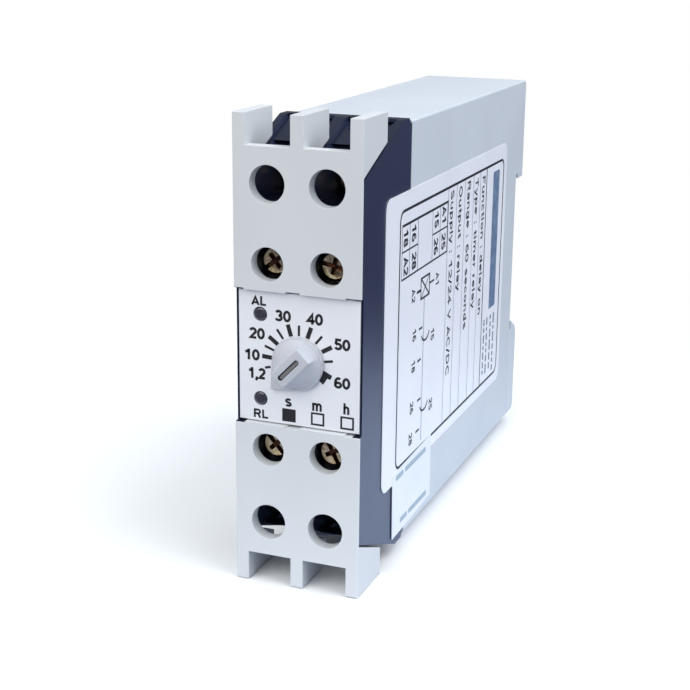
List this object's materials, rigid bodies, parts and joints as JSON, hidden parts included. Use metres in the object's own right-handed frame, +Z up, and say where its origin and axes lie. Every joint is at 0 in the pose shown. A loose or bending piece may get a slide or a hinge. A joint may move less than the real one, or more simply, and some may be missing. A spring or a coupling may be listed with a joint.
{
  "type": "din rail timer",
  "caption": "Slim rail-mounted timer relay: one range dial, two signal lamps, two covers with driver holes over cage-clamp terminals, and a sprung rail foot.",
  "frame": {"origin": "middle of the seat that rests against the front of the 35 mm rail", "axes": "+Y back towards the rail, +X to the user's right, +Z up"},
  "size_m": [0.0227, 0.1024, 0.0804],
  "materials": {
    "grey_plastic": "satin",
    "navy_plastic": "gloss",
    "white_plastic": "satin",
    "label_film": "matte",
    "ivory_plastic": "satin",
    "smoked_lens": "gloss",
    "yellow_zinc": "satin",
    "tinned_brass": "satin",
    "spring_steel": "satin",
    "board_laminate": "satin",
    "relay_case": "satin",
    "black_plastic": "satin",
    "capacitor_sleeve": "gloss",
    "yellow_case": "satin",
    "blue_coating": "satin",
    "resistor_body": "matte"
  },
  "bodies": {
    "base": {"housing": "grey_plastic", "terminal_frame": "navy_plastic", "upper_cover": "grey_plastic", "lower_cover": "grey_plastic", "faceplate": "white_plastic", "side_label": "label_film", "small_label": "label_film", "supply_lamp": "smoked_lens", "relay_lamp": "smoked_lens", "front_board": "board_laminate", "main_board": "board_laminate", "board_connector": "black_plastic", "potentiometer": "black_plastic", "relay_15": "relay_case", "relay_25": "relay_case", "supply_capacitor": "capacitor_sleeve", "film_capacitor": "yellow_case", "varistor": "blue_coating", "timing_chip": "black_plastic", "rectifier_diodes": "black_plastic", "resistors": "resistor_body", "foot_spring": "spring_steel", "contact_a1": "tinned_brass", "contact_25": "tinned_brass", "contact_15": "tinned_brass", "contact_26": "tinned_brass", "contact_16": "tinned_brass", "contact_28": "tinned_brass", "contact_18": "tinned_brass", "contact_a2": "tinned_brass"},
    "dial": {"knob": "ivory_plastic", "potentiometer_shaft": "ivory_plastic"},
    "foot": {"rail_foot": "grey_plastic"},
    "screw_a1": {"screw_a1": "yellow_zinc"},
    "clamp_a1": {"clamp_a1": "yellow_zinc"},
    "screw_25": {"screw_25": "yellow_zinc"},
    "clamp_25": {"clamp_25": "yellow_zinc"},
    "screw_15": {"screw_15": "yellow_zinc"},
    "clamp_15": {"clamp_15": "yellow_zinc"},
    "screw_26": {"screw_26": "yellow_zinc"},
    "clamp_26": {"clamp_26": "yellow_zinc"},
    "screw_16": {"screw_16": "yellow_zinc"},
    "clamp_16": {"clamp_16": "yellow_zinc"},
    "screw_28": {"screw_28": "yellow_zinc"},
    "clamp_28": {"clamp_28": "yellow_zinc"},
    "screw_18": {"screw_18": "yellow_zinc"},
    "clamp_18": {"clamp_18": "yellow_zinc"},
    "screw_a2": {"screw_a2": "yellow_zinc"},
    "clamp_a2": {"clamp_a2": "yellow_zinc"}
  },
  "joints": [
    {"name": "dial_turn", "type": "hinge", "parent": "base", "child": "dial", "pos_m": [0, -0.0933, -0.0003], "axis": [0, 1, 0], "range_deg": [0, 270]},
    {"name": "foot_slide", "type": "slide", "parent": "base", "child": "foot", "axis": [0, 0, -1], "range_m": [0, 0.0025], "stiffness_N_per_m": 1800, "springref_m": -0.003, "deforming": ["foot_spring"]},
    {"name": "screw_a1_turn", "type": "hinge", "parent": "base", "child": "screw_a1", "pos_m": [-0.0052, -0.0833, 0.02905], "axis": [0, 1, 0], "range_deg": [0, 1200]},
    {"name": "clamp_a1_rise", "type": "slide", "parent": "base", "child": "clamp_a1", "axis": [0, -1, 0], "range_m": [0, 0.002]},
    {"name": "screw_25_turn", "type": "hinge", "parent": "base", "child": "screw_25", "pos_m": [0.0052, -0.0833, 0.02905], "axis": [0, 1, 0], "range_deg": [0, 1200]},
    {"name": "clamp_25_rise", "type": "slide", "parent": "base", "child": "clamp_25", "axis": [0, -1, 0], "range_m": [0, 0.002]},
    {"name": "screw_15_turn", "type": "hinge", "parent": "base", "child": "screw_15", "pos_m": [-0.0052, -0.0909, 0.01595], "axis": [0, 1, 0], "range_deg": [0, 1200]},
    {"name": "clamp_15_rise", "type": "slide", "parent": "base", "child": "clamp_15", "axis": [0, -1, 0], "range_m": [0, 0.002]},
    {"name": "screw_26_turn", "type": "hinge", "parent": "base", "child": "screw_26", "pos_m": [0.0052, -0.0909, 0.01595], "axis": [0, 1, 0], "range_deg": [0, 1200]},
    {"name": "clamp_26_rise", "type": "slide", "parent": "base", "child": "clamp_26", "axis": [0, -1, 0], "range_m": [0, 0.002]},
    {"name": "screw_16_turn", "type": "hinge", "parent": "base", "child": "screw_16", "pos_m": [-0.0052, -0.0909, -0.01595], "axis": [0, 1, 0], "range_deg": [0, 1200]},
    {"name": "clamp_16_rise", "type": "slide", "parent": "base", "child": "clamp_16", "axis": [0, -1, 0], "range_m": [0, 0.002]},
    {"name": "screw_28_turn", "type": "hinge", "parent": "base", "child": "screw_28", "pos_m": [0.0052, -0.0909, -0.01595], "axis": [0, 1, 0], "range_deg": [0, 1200]},
    {"name": "clamp_28_rise", "type": "slide", "parent": "base", "child": "clamp_28", "axis": [0, -1, 0], "range_m": [0, 0.002]},
    {"name": "screw_18_turn", "type": "hinge", "parent": "base", "child": "screw_18", "pos_m": [-0.0052, -0.0833, -0.02905], "axis": [0, 1, 0], "range_deg": [0, 1200]},
    {"name": "clamp_18_rise", "type": "slide", "parent": "base", "child": "clamp_18", "axis": [0, -1, 0], "range_m": [0, 0.002]},
    {"name": "screw_a2_turn", "type": "hinge", "parent": "base", "child": "screw_a2", "pos_m": [0.0052, -0.0833, -0.02905], "axis": [0, 1, 0], "range_deg": [0, 1200]},
    {"name": "clamp_a2_rise", "type": "slide", "parent": "base", "child": "clamp_a2", "axis": [0, -1, 0], "range_m": [0, 0.002]}
  ],
  "couplings": [
    {"joint": "screw_a1_turn", "follows": "clamp_a1_rise", "rad_per_m": 10472},
    {"joint": "screw_25_turn", "follows": "clamp_25_rise", "rad_per_m": 10472},
    {"joint": "screw_15_turn", "follows": "clamp_15_rise", "rad_per_m": 10472},
    {"joint": "screw_26_turn", "follows": "clamp_26_rise", "rad_per_m": 10472},
    {"joint": "screw_16_turn", "follows": "clamp_16_rise", "rad_per_m": 10472},
    {"joint": "screw_28_turn", "follows": "clamp_28_rise", "rad_per_m": 10472},
    {"joint": "screw_18_turn", "follows": "clamp_18_rise", "rad_per_m": 10472},
    {"joint": "screw_a2_turn", "follows": "clamp_a2_rise", "rad_per_m": 10472}
  ]
}
